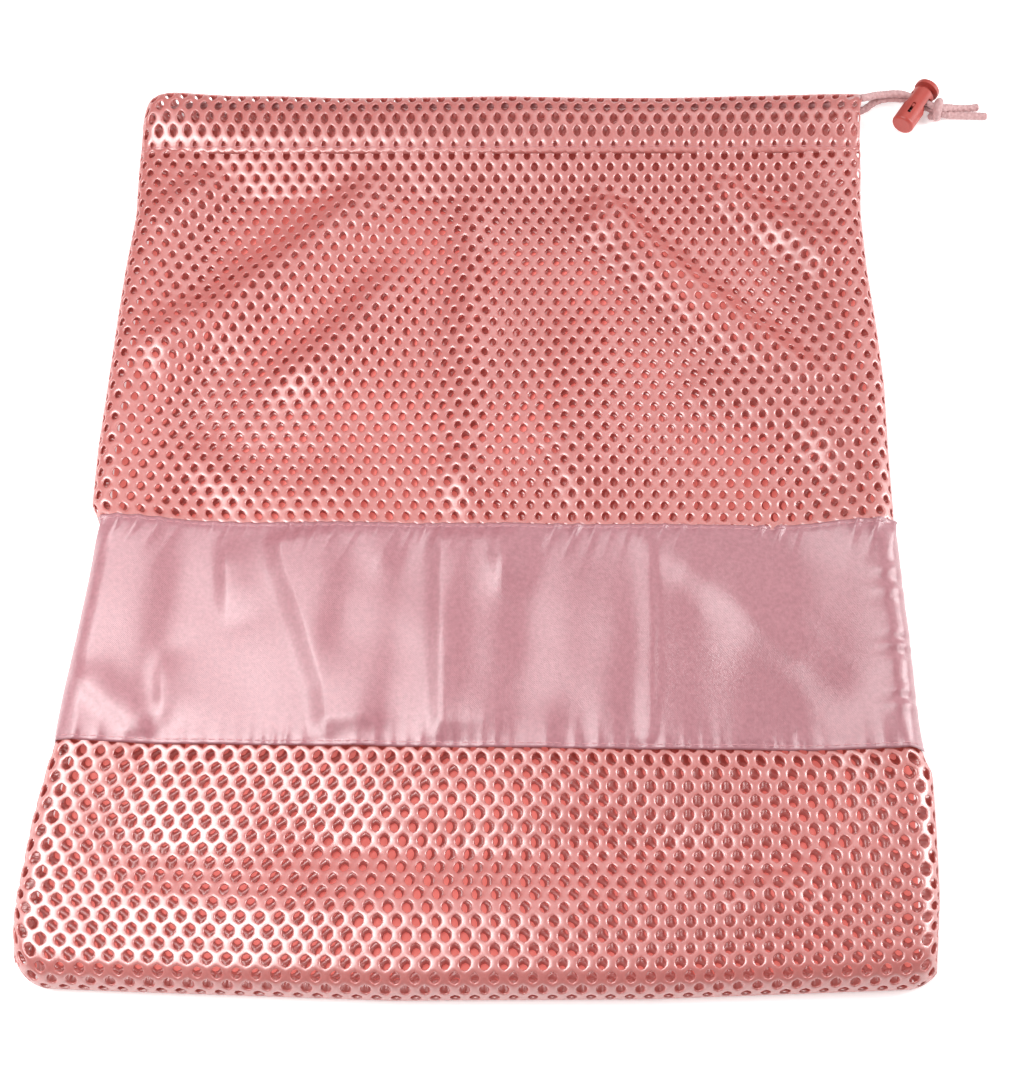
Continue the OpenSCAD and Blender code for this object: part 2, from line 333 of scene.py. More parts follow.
def tint_by_noise(tree, shader, coords, scale, dark, light, detail=3.0):
    """Base colour that runs between two colours with a noise."""
    noise = node(tree, "ShaderNodeTexNoise", Scale=scale, Detail=detail)
    link(tree, coords, "Object", noise, "Vector")
    ramp = tree.nodes.new("ShaderNodeValToRGB")
    ramp.color_ramp.elements[0].position, ramp.color_ramp.elements[1].position = 0.3, 0.7
    ramp.color_ramp.elements[0].color = (*dark, 1)
    ramp.color_ramp.elements[1].color = (*light, 1)
    link(tree, noise, "Fac", ramp, "Fac")
    link(tree, ramp, "Color", shader, "Base Color")


def relief(tree, coords, kind, strength, distance, onto, **values):
    """A bump made by a texture, whose normals go on to another node."""
    texture = node(tree, kind, **values)
    link(tree, coords, "Object", texture, "Vector")
    bump = node(tree, "ShaderNodeBump", Strength=strength, Distance=distance)
    link(tree, texture, "Fac", bump, "Height")
    link(tree, bump, "Normal", onto, "Normal")
    return bump


def mesh_material(name, dark, light):
    """Knitted polyester: fine yarn ribs and fibres on every strand."""
    material, tree, shader = new_material(name, light, 0.36)
    shader.inputs["Sheen Weight"].default_value = 0.1
    shader.inputs["Sheen Roughness"].default_value = 0.4
    shader.inputs["IOR"].default_value = 1.9
    shader.inputs["Specular IOR Level"].default_value = 1.0
    shader.inputs["Subsurface Weight"].default_value = 0.3
    shader.inputs["Subsurface Radius"].default_value = (1.0, 0.35, 0.3)
    shader.inputs["Subsurface Scale"].default_value = 0.002
    # Painted glow: the emission stands in for light passed on through the yarn and lifts the shaded holes to red.
    shader.inputs["Emission Color"].default_value = (0.75, 0.13, 0.10, 1)   # light passed on through the yarn
    shader.inputs["Emission Strength"].default_value = 0.11
    coords = tree.nodes.new("ShaderNodeTexCoord")
    tint_by_noise(tree, shader, coords, 900.0, dark, light, 4.0)
    relief(tree, coords, "ShaderNodeTexWave", 0.10, 0.00014, shader, Scale=1150.0, Distortion=5.0, Detail=2.0,
           bands_direction="DIAGONAL")
    return material


def satin_material():
    """Polyester satin: the floats run across the bag, so the gloss stretches along it."""
    material, tree, shader = new_material("satin", (0.44, 0.170, 0.198), 0.30)
    shader.inputs["Anisotropic"].default_value = 0.85
    shader.inputs["Sheen Weight"].default_value = 0.12
    shader.inputs["Sheen Roughness"].default_value = 0.3
    shader.inputs["Specular IOR Level"].default_value = 0.8
    shader.inputs["IOR"].default_value = 1.8
    tangent = node(tree, "ShaderNodeTangent", direction_type="UV_MAP")
    tangent.uv_map = "UVMap"
    link(tree, tangent, "Tangent", shader, "Tangent")
    coords = tree.nodes.new("ShaderNodeTexCoord")
    tint_by_noise(tree, shader, coords, 620.0, (0.36, 0.132, 0.158), (0.46, 0.182, 0.214))
    slub = relief(tree, coords, "ShaderNodeTexNoise", 0.45, 0.00016, shader, Scale=1500.0, Detail=3.0)
    relief(tree, coords, "ShaderNodeTexWave", 0.4, 0.0001, slub, Scale=900.0, Distortion=1.0, Detail=1.0,
           bands_direction="DIAGONAL")
    return material


def thread_material():
    material, tree, shader = new_material("thread", (0.66, 0.32, 0.36), 0.5)
    coords = tree.nodes.new("ShaderNodeTexCoord")
    tint_by_noise(tree, shader, coords, 400.0, (0.60, 0.27, 0.30), (0.70, 0.35, 0.38))
    relief(tree, coords, "ShaderNodeTexWave", 0.4, 0.0001, shader, Scale=1600.0, Distortion=0.4,
           bands_direction="DIAGONAL")
    return material


def cord_material():
    material, tree, shader = new_material("cord", (0.56, 0.31, 0.31), 0.55)
    shader.inputs["Sheen Weight"].default_value = 0.3
    coords = tree.nodes.new("ShaderNodeTexCoord")
    tint_by_noise(tree, shader, coords, 700.0, (0.50, 0.27, 0.27), (0.62, 0.37, 0.37), 5.0)
    relief(tree, coords, "ShaderNodeTexNoise", 0.35, 0.00015, shader, Scale=2600.0, Detail=3.0)
    return material


def plastic_material(name, colour, roughness):
    material, tree, shader = new_material(name, colour, roughness)
    shader.inputs["Specular IOR Level"].default_value = 0.5
    shader.inputs["Subsurface Weight"].default_value = 0.08
    shader.inputs["Subsurface Scale"].default_value = 0.001
    coords = tree.nodes.new("ShaderNodeTexCoord")
    dark = tuple(c * 0.88 for c in colour)
    tint_by_noise(tree, shader, coords, 300.0, dark, colour)
    relief(tree, coords, "ShaderNodeTexNoise", 0.12, 0.0001, shader, Scale=1800.0, Detail=4.0)
    return material


def steel_material():
    material, tree, shader = new_material("spring_wire", (0.62, 0.62, 0.64), 0.28)
    shader.inputs["Metallic"].default_value = 1.0
    coords = tree.nodes.new("ShaderNodeTexCoord")
    relief(tree, coords, "ShaderNodeTexNoise", 0.15, 0.00005, shader, Scale=3000.0, Detail=2.0)
    return material


MESH = mesh_material("knit_mesh", (0.44, 0.112, 0.101), (0.505, 0.148, 0.134))
SATIN = satin_material()
THREAD = thread_material()
CORD = cord_material()
LOCK = plastic_material("lock_plastic", (0.47, 0.07, 0.055), 0.38)
STEEL = steel_material()

# ---------------------------------------------------------------- cords, lock and knot

CORD_D = 2.8
CORD_SHOWN = 3.5                    # the soft braid swells a little where nothing holds it
CORD_PINCHED = 0.80                 # and this share of that inside the lock, where it lies at rest
LOCK_AT = (HALF_W + 25.4, MOUTH_Y - 2.2)
BRAID_RELIEF, BRAID_LAY = 0.11, 3.2     # share of the radius, and length of one turn of a strand
KNOT_CORD_R = 1.8
MOUTH_CORNER = (HALF_W, MOUTH_Y)    # the cords' routes start from here, as in the CAD
FRONT_CORD = [
    (-1.9, -5, 11.7), (-0.4, -4.8, 11.6), (1.4, -4, 11.1), (3.2, -2.8, 10.1), (5.1, -1.34, 9), (8.3, 0.02, 7.6),
    (11.4, 0.75, 7.2), (14.5, 1, 7.2), (18, 0.7, 7.2), (21.5, -0.3, 7.2), (25.4, -2.2, 7.2), (28.5, -4.1, 7.1),
    (31.9, -5.5, 6.5), (34.2, -6.3, 6.4), (38.5, -4.8, 4.6), (42.5, -3.6, 2.6), (47, -2.8, 1.5), (53.3, -2, 1.4),
]
BACK_CORD = [
    (-1.9, -5, 2.5), (-0.4, -4.8, 2.5), (1.4, -4, 2.6), (3.2, -2.8, 2.9), (5.1, -1.34, 3.4), (8.3, 0.02, 4.1),
    (11.4, 0.75, 4.2), (14.5, 1, 4.2), (18, 0.7, 4.2), (21.5, -0.3, 4.2), (25.4, -2.2, 4.2), (28.5, -4.1, 4.1),
    (31.9, -5.5, 3.6), (34.2, -6.3, 3.4), (38.5, -6.8, 2.2), (43, -6.7, 1.5), (49, -6.8, 1.4), (56.6, -7.2, 1.4),
]
FRONT_CORD, BACK_CORD = ([(x + MOUTH_CORNER[0], y + MOUTH_CORNER[1], z) for x, y, z in route]
                         for route in (FRONT_CORD, BACK_CORD))
KNOT_CENTRE, KNOT_TURN = (MOUTH_CORNER[0] + 33.6, MOUTH_CORNER[1] - 6.2, 5.0), -20.0


def spline(points, step):
    """Points a step apart along a Catmull-Rom curve through the given points, and its lengths."""
    p = np.array(points, float)
    p = np.vstack([2 * p[0] - p[1], p, 2 * p[-1] - p[-2]])
    k = np.linspace(0, 1, 24, endpoint=False)[:, None]
    dense = []
    for i in range(1, len(p) - 2):
        a, b, c, d = p[i - 1], p[i], p[i + 1], p[i + 2]
        dense.append(
            0.5 * (2 * b + (c - a) * k + (2 * a - 5 * b + 4 * c - d) * k ** 2
                   + (3 * b - a - 3 * c + d) * k ** 3)
        )
    dense = np.vstack(dense + [p[-2][None]])
    run = np.concatenate([[0], np.cumsum(np.linalg.norm(np.diff(dense, axis=0), axis=1))])
    even = np.linspace(0, run[-1], max(3, int(run[-1] / step) + 1))
    return np.stack([np.interp(even, run, dense[:, i]) for i in range(3)], -1), run[-1]


def rings_along(line, side, lift, r, angle):
    """Points and quads of a tube with a ring of points round each point of a line."""
    ring = (line[:, None] + side[:, None] * (np.cos(angle) * r)[..., None]
            + lift[:, None] * (np.sin(angle) * r)[..., None])
    sides = angle.shape[-1]
    i, j = np.meshgrid(np.arange(len(line) - 1), np.arange(sides), indexing="ij")
    j2 = (j + 1) % sides
    quads = np.stack([i * sides + j, i * sides + j2, (i + 1) * sides + j2, (i + 1) * sides + j], -1)
    return ring.reshape(-1, 3), quads.reshape(-1, 4)


def tube(name, points, radius, tip=True):
    """A braided cord along a curve. Its relief is two sets of crossing strands."""
    sides = 24
    line, length = spline(points, 0.3)
    along = unit(np.gradient(line, axis=0))
    side = unit(np.cross(along, np.array([0.0, 0.0, 1.0])))
    lift = np.cross(side, along)
    angle = np.linspace(0, math.tau, sides, endpoint=False)[None, :]
    place = np.linspace(0, length, len(line))[:, None]
    twist = place * math.tau / BRAID_LAY
    wave = np.maximum(np.sin(4 * angle + twist), np.sin(4 * angle - twist))
    r = radius * (1 - BRAID_RELIEF) + radius * BRAID_RELIEF * wave
    from_lock = np.hypot(line[:, 0] - LOCK_AT[0], line[:, 1] - LOCK_AT[1])[:, None]
    r = r * (CORD_PINCHED + (1 - CORD_PINCHED) * smooth(5.2, 8.5, from_lock))
    if tip:
        r = r * (0.55 + 0.45 * smooth(0, 0.5, length - place))
    points, quads = rings_along(line, side, lift, r, angle)
    points = np.vstack([points, line[0], line[-1]])
    first = len(points) - 2
    end_ring = first - sides
    k = np.arange(sides)
    caps = np.concatenate([
        np.stack([np.full(sides, first), (k + 1) % sides, k], -1),
        np.stack([np.full(sides, first + 1), end_ring + k, end_ring + (k + 1) % sides], -1),
    ])
    uv = np.stack([np.repeat(np.linspace(0, length, len(line)), sides), np.tile(angle[0], len(line))], -1)
    uv = np.vstack([uv, uv[0], uv[-1]])
    return mesh_piece(name, points, [quads, caps], CORD, "bag", uv), length


cord_front, cord_front_length = tube("cord_front", FRONT_CORD, CORD_SHOWN / 2)
cord_back, cord_back_length = tube("cord_back", BACK_CORD, CORD_SHOWN / 2)


def knot_points(turns=1.35, radius=3.4, rise=3.2, steps=40):
    """A wrap of cord round both ends, about the line that they lie along."""
    k = np.linspace(0, 1, steps)
    angle = math.radians(200) + k * turns * math.tau
    x = (k - 0.5) * rise
    local = np.stack([x, radius * np.cos(angle), radius * 1.08 * np.sin(angle)], -1)
    turn = math.radians(KNOT_TURN)
    c, s = math.cos(turn), math.sin(turn)
    world = np.stack([local[:, 0] * c - local[:, 1] * s, local[:, 0] * s + local[:, 1] * c, local[:, 2]], -1)
    return world + np.array(KNOT_CENTRE)


knot, _ = tube("knot_wrap", knot_points(), KNOT_CORD_R, tip=False)
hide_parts("cord_end_front", "cord_tail_front")
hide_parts("cord_end_back", "cord_tail_back")
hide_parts("cord_knot")

for name, material in (("lock_housing", LOCK), ("lock_plunger", LOCK), ("lock_spring", STEEL)):
    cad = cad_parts[name]
    cad.data.materials.clear()
    cad.data.materials.append(material)

# ---------------------------------------------------------------- the mesh cloth

APEX = (ROW ** 2 + (PITCH / 2) ** 2) / (2 * ROW)     # cell corner above a hole
SIDE = ROW - APEX                                     # cell corners beside a hole

RING_HEIGHTS = np.repeat([1.0, 0.97, 0.74, 0.0, -1.0], 12)     # of a cell's five rings of 12 points


def cell_rings():
    """Flat points of one cell: its border, two rings on its outer face and the hole's edge, 12 points each."""
    corners = np.array([(0, APEX), (-PITCH / 2, SIDE), (-PITCH / 2, -SIDE),
                        (0, -APEX), (PITCH / 2, -SIDE), (PITCH / 2, SIDE)])
    border = np.empty((12, 2))
    border[0::2] = corners
    border[1::2] = (corners + np.roll(corners, -1, 0)) / 2
    hole = border / np.sqrt((border[:, :1] / HOLE_A) ** 2 + (border[:, 1:] / HOLE_B) ** 2)
    return border, border * 0.48 + hole * 0.52, border * 0.15 + hole * 0.85, hole


def rims(faces, key):
    """Quads that join the two faces of the cloth along its open ends."""
    pairs = np.concatenate([np.stack([f, np.roll(f, -1, 1)], -1).reshape(-1, 2) for f in faces])
    _, first, counts = np.unique(np.sort(pairs, 1), axis=0, return_index=True, return_counts=True)
    lower = {(k[0], k[1]): i for i, k in enumerate(key) if k[2] < -0.5}
    quads = [(b, a, lower[tuple(key[a, :2])], lower[tuple(key[b, :2])])
             for a, b in pairs[first[counts == 1]] if key[a, 2] > 0.5 and key[b, 2] > 0.5]
    return np.array(quads, int).reshape(-1, 4)


def lattice(name, surface, columns, first, last, replaces=(), closed=(True, True), row=ROW, outer=1,
            squeezed=None, open_share=1.0):
    """Knitted mesh laid on a surface, with the rows from first up to last. closed says whether the
    cloth ends at its first and its last row; an end that isn't closed meets another piece. outer is
    the face that shows, squeezed the size of the holes in some rows, and open_share in all of them."""
    pitch = 2 * FLAT_HALF / columns
    stretch = np.array([pitch / PITCH, row / ROW])
    border, crest, brow, hole = (ring * stretch for ring in cell_rings())
    apex, low = APEX * row / ROW, SIDE * row / ROW
    flat, height, patches, cells = [], [], [], []
    count = 0
    rng = np.random.default_rng(5)

    def row_of(j):
        """The middles of row j's cells across the cloth, and the row's place along it."""
        odd = j % 2
        return -FLAT_HALF + pitch * (np.arange(columns - odd) + 0.5 + 0.5 * odd), (j + 0.5) * row

    def plain(pts, forward):
        """A patch of plain cloth on both faces. forward says which way its points run."""
        nonlocal count
        for up in (1.0, -1.0):
            flat.append(np.array(pts))
            height.append(np.full(len(pts), up))
            order = np.arange(len(pts))
            patches.append(count + (order if (up > 0) == forward else order[::-1]))
            count += len(pts)

    for j in range(first, last):
        centres, t = row_of(j)
        base = np.stack([centres, np.full(len(centres), t)], -1)[:, None, :]
        size = open_share * (squeezed or {}).get(j, 1.0) * (1 + 0.05 * rng.standard_normal((len(centres), 1, 1)))
        rings = np.concatenate([base + border, base + crest, base + brow * size ** 0.8, base + hole * size,
                                base + border], 1)
        flat.append(rings.reshape(-1, 2))
        height.append(np.tile(outer * RING_HEIGHTS, len(centres)))
        k = np.arange(12)
        k2 = (k + 1) % 12
        for ring in range(0, 48, 12):
            quad = np.stack([ring + k, ring + k2, ring + 12 + k2, ring + 12 + k], -1)[:, ::outer]
            cells.append((count + 60 * np.arange(len(centres)))[:, None, None] + quad[None])
        count += 60 * len(centres)
        if j % 2:
            # the half cells at both sides are plain cloth
            for sign in (-1, 1):
                edge = sign * FLAT_HALF
                inner = edge - sign * pitch / 2
                quarter, slope = (edge + inner) / 2, (apex + low) / 2
                plain([(edge, t + apex), (quarter, t + slope), (inner, t + low), (inner, t),
                       (inner, t - low), (quarter, t - slope), (edge, t - apex)], sign > 0)
    # straight ends: the gaps between the first and the last row's cells are plain cloth
    for j, sign, ends in ((first, -1, closed[0]), (last - 1, 1, closed[1])):
        if not ends:
            continue
        centres, t = row_of(j)
        far, near = t + sign * apex, t + sign * low
        xs = np.concatenate([[-FLAT_HALF], centres, [FLAT_HALF]])
        for x0, x1 in zip(xs[:-1], xs[1:]):
            inner = (x0 + x1) / 2
            if j % 2 == 0 and x0 == -FLAT_HALF:
                inner = -FLAT_HALF
            if j % 2 == 0 and x1 == FLAT_HALF:
                inner = FLAT_HALF
            pts = [(x0, far), (x1, far), ((x1 + inner) / 2, (far + near) / 2), (inner, near),
                   ((x0 + inner) / 2, (far + near) / 2)]
            if inner == -FLAT_HALF:
                pts.pop(4)
            if inner == FLAT_HALF:
                pts.pop(2)
            plain(pts, sign < 0)
    flat, height = np.concatenate(flat), np.concatenate(height)
    border_line = np.abs(np.abs(flat[:, 0]) - FLAT_HALF) < 1e-4
    if closed[0]:
        border_line |= flat[:, 1] < row_of(first)[1] - apex + 1e-4
    if closed[1]:
        border_line |= flat[:, 1] > row_of(last - 1)[1] + apex - 1e-4
    height = np.where(border_line, 0, height)
    key = np.round(np.column_stack([flat, height]), 3)
    _, index, inverse = np.unique(key, axis=0, return_index=True, return_inverse=True)
    inverse = inverse.ravel()
    flat, height = flat[index], height[index]
    quads = inverse[np.concatenate([f.reshape(-1, 4) for f in cells])]
    faces = [quads] + [inverse[patch][None] for patch in patches]
    faces.append(rims(faces, key[index]))
    s, t = flat[:, 0], flat[:, 1]
    points = surface(s, t) + normals_of(surface, s, t) * (height * STRAND_H)[:, None]
    piece = mesh_piece(name, points, faces, MESH, "bag", np.column_stack([s, t]) / 10)
    if replaces:
        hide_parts(*replaces)
    return piece


SPLIT = 32                          # the row under the satin where the front's two pieces meet
front_lower = lattice("front_mesh_lower", front, COLUMNS, 0, SPLIT, ("front_panel",))
front_upper = lattice("front_mesh_upper", front, COLUMNS, SPLIT, ROWS, open_share=0.8)
back_lower = lattice("back_mesh_lower", back, COLUMNS, 0, SPLIT, ("back_panel",), (True, False), outer=-1)
back_upper = lattice("back_mesh_upper", back, COLUMNS, SPLIT, ROWS, (), (False, True), outer=-1,
                     open_share=0.9)

# ---------------------------------------------------------------- the casings

FRONT_SECTION = [(166.5, 10.7), (170.2, 11.6), (175, 13.0), (180, 14.0), (185, 14.3), (190, 13.5),
                 (194.2, 12.1), (196.6, 10.2), (196.8, 8.4), (194.8, 7.2), (189, 7.1), (182, 7.6),
                 (174, 8.6), (170, 9.4), (167.8, 9.9)]
BACK_SECTION = [(167.6, 2.2), (170, 3.2), (176, 4.4), (184, 5.0), (191, 5.3), (195.4, 5.2), (198.0, 3.9),
                (198.4, 2.5), (196.8, 1.1), (192, 0.85), (184, 0.8), (176, 0.8), (170, 0.8), (167.4, 0.9)]


def section_line(section):
    line, length = spline([(0, y, z) for y, z in section], 0.25)
    return line[:, 1:], length


def casing_surface(section):
    """A casing's cloth: t runs round the section from the stitching."""
    line, length = section_line(section)
    place = np.linspace(0, length, len(line))

    def surface(s, t):
        y = np.interp(t, place, line[:, 0])
        z = np.interp(t, place, line[:, 1])
        beyond = np.maximum(t - length, 0) + np.minimum(t, 0)
        a = np.clip((np.abs(s) - (HALF_W - SIDE_R)) / SIDE_R, 0, math.pi / 2)
        over = np.maximum(np.abs(s) - FLAT_HALF, 0)
        x = np.minimum(np.abs(s), HALF_W - SIDE_R) + SIDE_R * np.sin(a)
        x = np.sign(s) * x * side_width(s, y) / HALF_W
        close = open_end(x, y + 12)
        left, right = smooth(-110, -160, x), smooth(120, 160, x)
        high = smooth(CASING_Y, MOUTH_Y, y)
        corner = np.clip((-x - 144) / 17, 0, 1)
        y = y + (0.4 * ripple(x, 0 * x, 80, 11) + 1.2 * right - 12 * (1 - np.sqrt(1 - 0.9 * corner ** 2))) * high
        z = z + 0.25 * ripple(x, y, 40, 12) + 4.4 * left * (z > SEAM_Z) * high
        z = SEAM_Z + (z - SEAM_Z) * np.cos(a * close) - over * np.sign(z - SEAM_Z)
        return np.stack([x, y + beyond, z], -1)

    return surface, length


def casing(name, section, node_name):
    surface, length = casing_surface(section)
    rows = int(round(length / HEM_ROW))
    return lattice(name, surface, HEM_COLUMNS, 0, rows, (node_name,), row=length / rows, squeezed={0: 0.5})


front_casing = casing("front_hem", FRONT_SECTION, "front_casing")
back_casing = casing("back_hem", BACK_SECTION, "back_casing")

# ---------------------------------------------------------------- the satin band

BAND_FOLDS = [
    ([(-105, -16), (-103, -34), (-99, -62)], 2.4, 11, 20, 4),
    ([(-125, -68), (-122, -88), (-119, -106)], 2.2, 11, 16, 4),
    ([(-84, -16), (-80, -34), (-70, -58), (-60, -86), (-57, -108)], 3.0, 24, 10, 5),
    ([(-18, -14), (-16, -60), (-14, -108)], 2.2, 28, 10, 4.5),
    ([(5, -14), (7, -50)], 1.8, 9, 20, 4),
    ([(64, -14), (65, -60), (63, -110)], 0.9, 2.4, 8, 5),
    ([(66, -20), (100, -50), (140, -92)], 1.8, 15, 24, 9),
    ([(90, -18), (122, -48), (154, -82)], 0.7, 12, 20, 7),
    ([(-158, -80), (-140, -95), (-122, -108)], 2.0, 9, 12, 4),
    ([(-42, -14), (-44, -44)], 1.0, 8, 18, 4),
]
BAND_LEFT, BAND_RIGHT = -FLAT_HALF + 3.0, FLAT_HALF - 2.0


def sharpened(angle):
    """A wave whose crests are narrow and whose troughs are wide."""
    return (np.exp(1.2 * np.sin(angle)) - 1.27) / 1.6


def band_surface(s, t):
    """The satin's upper surface. t runs up the band from its lower edge."""
    y = BAND_LO[1] + t
    flat_t = y - (BOTTOM_Y + BOTTOM_R) + FLAT_TURN
    base = front(s, flat_t)
    n = normals_of(front, s, flat_t, 1.5)
    x = base[..., 0]
    height = BAND_HI[1] - BAND_LO[1]
    lift = 0.25 + STRAND_H + 0.45
    flat = smooth(0, 10, FLAT_HALF - np.abs(s))
    held = flat * smooth(0, 6, height - t) * smooth(0, 5, t)       # the edges are sewn down
    for path, rise, width, end, far in BAND_FOLDS:
        lift = lift + ridge(x, y, path, rise, width, end, far) * held
    phase = 2.2 * ripple(s, 0 * s, 60, 31)
    size = 0.55 + 0.45 * ripple(s, 0 * s, 33, 32)
    lean = s + 0.35 * (height - t)
    pucker_top = sharpened(math.tau * lean / (PITCH * 1.02) + phase) * np.clip(size, 0.1, 1.4)
    pucker_low = sharpened(math.tau * s / (PITCH * 0.97) + 2 * phase) * np.clip(size, 0.1, 1.2)
    lift = lift + 1.15 * pucker_top * np.exp(-((height - t) / 5.5)) * smooth(0, 1.5, height - t + 0.8)
    lift = lift + 0.45 * pucker_low * np.exp(-(t / 5.0))
    drawn = np.sin(math.tau * y / 12.5 + 2 * ripple(0 * s, y, 26, 33))
    lift = lift + 0.45 * drawn * np.exp(-(((FLAT_HALF - 9 - s) / 6.0) ** 2))
    lift = lift + 0.4 * (1 + ripple(x, 0.35 * y, 30, 41)) * flat
    pinch = np.exp(-((height - t - 1.8) / 0.9) ** 2) + np.exp(-((t - 1.8) / 0.9) ** 2)
    lift = lift - 0.3 * pinch
    roll = np.exp(-((height - t) / 0.5) ** 2) + np.exp(-(t / 0.5) ** 2)
    lift = lift - 0.5 * roll
    return base + n * lift[..., None]


def shell(name, surface, s0, s1, t0, t1, step, thick, material, body, uv_turn=False):
    """A two-sided sheet over a grid, with its edges closed."""
    ns, nt = int((s1 - s0) / step) + 1, int((t1 - t0) / step) + 1
    s, t = np.meshgrid(np.linspace(s0, s1, ns), np.linspace(t0, t1, nt), indexing="ij")
    top = surface(s, t)
    n = unit(np.cross(np.gradient(top, axis=0), np.gradient(top, axis=1)))
    low = top - n * thick
    points = np.vstack([top.reshape(-1, 3), low.reshape(-1, 3)])
    i, j = np.meshgrid(np.arange(ns - 1), np.arange(nt - 1), indexing="ij")
    a = (i * nt + j).ravel()
    quads = np.stack([a, a + nt, a + nt + 1, a + 1], -1)
    m = ns * nt
    under = quads[:, ::-1] + m
    left, right = np.arange(nt - 1), (ns - 1) * nt + np.arange(nt - 1)
    low_e, high_e = np.arange(ns - 1) * nt, np.arange(ns - 1) * nt + nt - 1
    edges = np.concatenate([
        np.stack([left, left + 1, left + 1 + m, left + m], -1),
        np.stack([right + 1, right, right + m, right + 1 + m], -1),
        np.stack([low_e + nt, low_e, low_e + m, low_e + nt + m], -1),
        np.stack([high_e, high_e + nt, high_e + nt + m, high_e + m], -1)])
    uv = np.column_stack([(t if uv_turn else s).ravel(), (s if uv_turn else t).ravel()]) / 10
    return mesh_piece(name, points, [quads, under, edges], material, body, np.vstack([uv, uv]))


band = shell("satin_strip", band_surface, BAND_LEFT, BAND_RIGHT, 0.0, BAND_HI[1] - BAND_LO[1], 0.9, 0.35,
             SATIN, "bag", uv_turn=True)
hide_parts("satin_band")

# ---------------------------------------------------------------- seams inside and stitches


STITCH, STITCH_GAP, STITCH_SINK = 2.9, 0.6, 0.08     # a stitch's length, the gap after it, its depth


def stitches(name, surface, line, replaces, radius=0.2):
    """A row of sewing stitches: short threads that dip at both ends. line gives s and t for a length."""
    s, t = line
    run = np.concatenate([[0], np.cumsum(np.hypot(np.diff(s), np.diff(t)))])
    steps, sides = 7, 6
    arch = np.sin(np.linspace(0, math.pi, steps))
    angle = np.linspace(0, math.tau, sides, endpoint=False)[None]
    r = (radius * (0.35 + 0.65 * np.sqrt(arch)))[:, None]
    points, faces = [], []
    for k, start in enumerate(np.arange(0.6, run[-1] - STITCH, STITCH + STITCH_GAP)):
        d = np.linspace(start, start + STITCH, steps)
        ss, tt = np.interp(d, run, s), np.interp(d, run, t)
        n = normals_of(surface, ss, tt)
        centre = surface(ss, tt) + n * (radius * (0.2 + 0.8 * arch) - STITCH_SINK)[:, None]
        side = unit(np.cross(n, unit(np.gradient(centre, axis=0))))
        ring, quads = rings_along(centre, side, n, r, angle)
        base = k * steps * sides
        top = base + (steps - 1) * sides
        points.append(ring)
        faces += [base + quads, base + np.array([[3, 2, 1, 0], [0, 5, 4, 3]]),
                  top + np.array([[0, 1, 2, 3], [3, 4, 5, 0]])]
    piece = mesh_piece(name, np.vstack(points), faces, THREAD, "bag")
    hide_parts(*replaces)
    return piece


BAND_H = BAND_HI[1] - BAND_LO[1]
across = np.linspace(BAND_LEFT + 1, BAND_RIGHT - 1, 120)
stitches("band_stitches_top", band_surface, (across, np.full(120, BAND_H - 1.8)), ("band_stitching_top",))
stitches("band_stitches_low", band_surface, (across, np.full(120, 1.8)), ("band_stitching_bottom",))


def on_top(surface, rise):
    """The surface moved out along its normals."""
    return lambda s, t: surface(s, t) + normals_of(surface, s, t) * rise


front_hem_surface, _ = casing_surface(FRONT_SECTION)
full = np.linspace(-FLAT_HALF + 3, FLAT_HALF - 3, 120)
stitches("hem_stitches_front", on_top(front_hem_surface, STRAND_H), (full, np.full(120, 1.9)),
         ("casing_stitching_front",), radius=0.14)
stitches("hem_stitches_back", on_top(back, -STRAND_H), (full, np.full(120, FLAT_H - 1.2)),
         ("casing_stitching_back",))


SEAM_IN = 3.8                       # from the outline to the middle of a seam allowance


def along_line(line):
    """The point, the direction across and the length of a line of points, each as a function of t."""
    run = np.concatenate([[0], np.cumsum(np.linalg.norm(np.diff(line, axis=0), axis=1))])
    way = np.gradient(line, axis=0)
    side = unit(np.stack([-way[:, 1], way[:, 0], 0 * way[:, 0]], -1))

    def read(values, t):
        return np.stack([np.interp(t, run, values[:, i]) for i in range(3)], -1)

    return lambda t: read(line, t), lambda t: read(side, t), float(run[-1])


def seam_strip(name, line):
    """An overlocked seam allowance: a narrow strip of two cloths along a line."""
    point, side, length = along_line(line)

    def surface(s, t):
        wave = 0.35 * np.sin(t * math.tau / 3.4) * (np.abs(s) > 1.2)
        rise = 0.6 - 0.12 * s ** 2 + 0.12 * np.sin(t * math.tau / 1.7)
        return point(t) + side(t) * (s + wave)[..., None] + rise[..., None] * np.array([0, 0, 1.0])

    return shell(name, surface, -2.0, 2.0, 0.0, length, 0.5, 1.4, MESH, "bag")


def seam_threads(name, line, replaces):
    point, side, length = along_line(line)

    def surface(s, t):
        return point(t) + side(t) * s[..., None] + np.array([0, 0, 0.75])

    return stitches(name, surface, (np.full(200, 0.6), np.linspace(0, length, 200)), replaces)


def seam_line(node_name):
    """The middle line of a seam allowance, inside the bag and beside its outline."""
    lo, hi = node_box(node_name)
    if hi[1] - lo[1] > hi[0] - lo[0]:
        y = np.linspace(lo[1] + 1, hi[1] - 1, 80)
        sign = math.copysign(1, lo[0])
        x = sign * (side_width(np.full(80, sign), y) - SEAM_IN)
        z = SEAM_Z + (BOTTOM_SEAM_Z - SEAM_Z) * (1 - smooth(0, 40, y - BOTTOM_Y))
    else:
        x = np.linspace(lo[0] + 1, hi[0] - 1, 80)
        y = BOTTOM_Y + SEAM_IN + bottom_bow(x)
        z = np.full(80, BOTTOM_SEAM_Z + 0.4)
    return np.stack([x, y, z], -1)


for seam, thread in (("left_side_seam", "left_seam_stitching"), ("right_side_seam", "right_seam_stitching"),
                     ("bottom_seam", "bottom_seam_stitching")):
    strip = seam_strip(seam.replace("_seam", "_overlock"), seam_line(seam))
    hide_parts(seam)
    seam_threads(thread.replace("stitching", "stitches"), seam_line(seam), (thread,))

